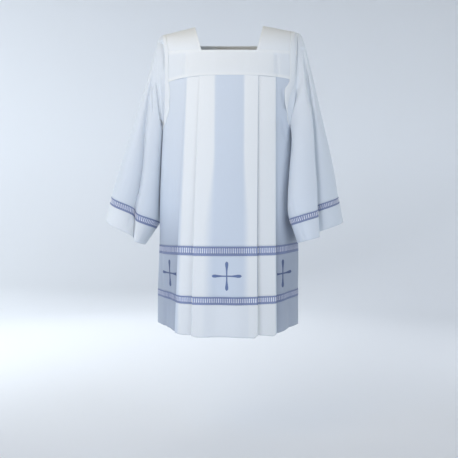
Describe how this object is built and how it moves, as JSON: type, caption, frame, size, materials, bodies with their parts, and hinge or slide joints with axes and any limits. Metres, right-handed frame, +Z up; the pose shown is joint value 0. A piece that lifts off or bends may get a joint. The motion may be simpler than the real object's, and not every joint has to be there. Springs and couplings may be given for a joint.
{
  "type": "surplice",
  "caption": "Worn white surplice on no figure: square yoke, knife pleats, wide hanging sleeves, bands of blue-grey insertion lace and embroidered crosses.",
  "frame": {"origin": "middle of the neck opening on the line of the shoulders, where the wearer's shoulders hold the garment", "axes": "+Z up, front faces -Y, +X is the wearer's left"},
  "size_m": [0.8208, 0.3502, 1.0392],
  "materials": {
    "cloth": "plain-woven white polyester, thin and slightly see-through",
    "lace": "blue-grey ladder insertion lace with white bars",
    "embroidery": "satin stitch in blue-grey thread"
  },
  "bodies": {
    "root": {"front_yoke_band": "cloth", "back_yoke_band": "cloth", "yoke_strap_right": "cloth", "yoke_strap_left": "cloth", "front_panel": "cloth", "back_panel": "cloth", "front_cross_band": "cloth", "back_cross_band": "cloth", "front_hem_band": "cloth", "back_hem_band": "cloth", "sleeve_right": "cloth", "sleeve_left": "cloth", "cuff_right": "cloth", "cuff_left": "cloth", "front_lace_upper": "lace", "back_lace_upper": "lace", "front_lace_lower": "lace", "back_lace_lower": "lace", "sleeve_lace_right": "lace", "sleeve_lace_left": "lace", "cross_front_right": "embroidery", "cross_front_centre": "embroidery", "cross_front_left": "embroidery", "cross_back_right": "embroidery", "cross_back_centre": "embroidery", "cross_back_left": "embroidery"}
  },
  "joints": []
}
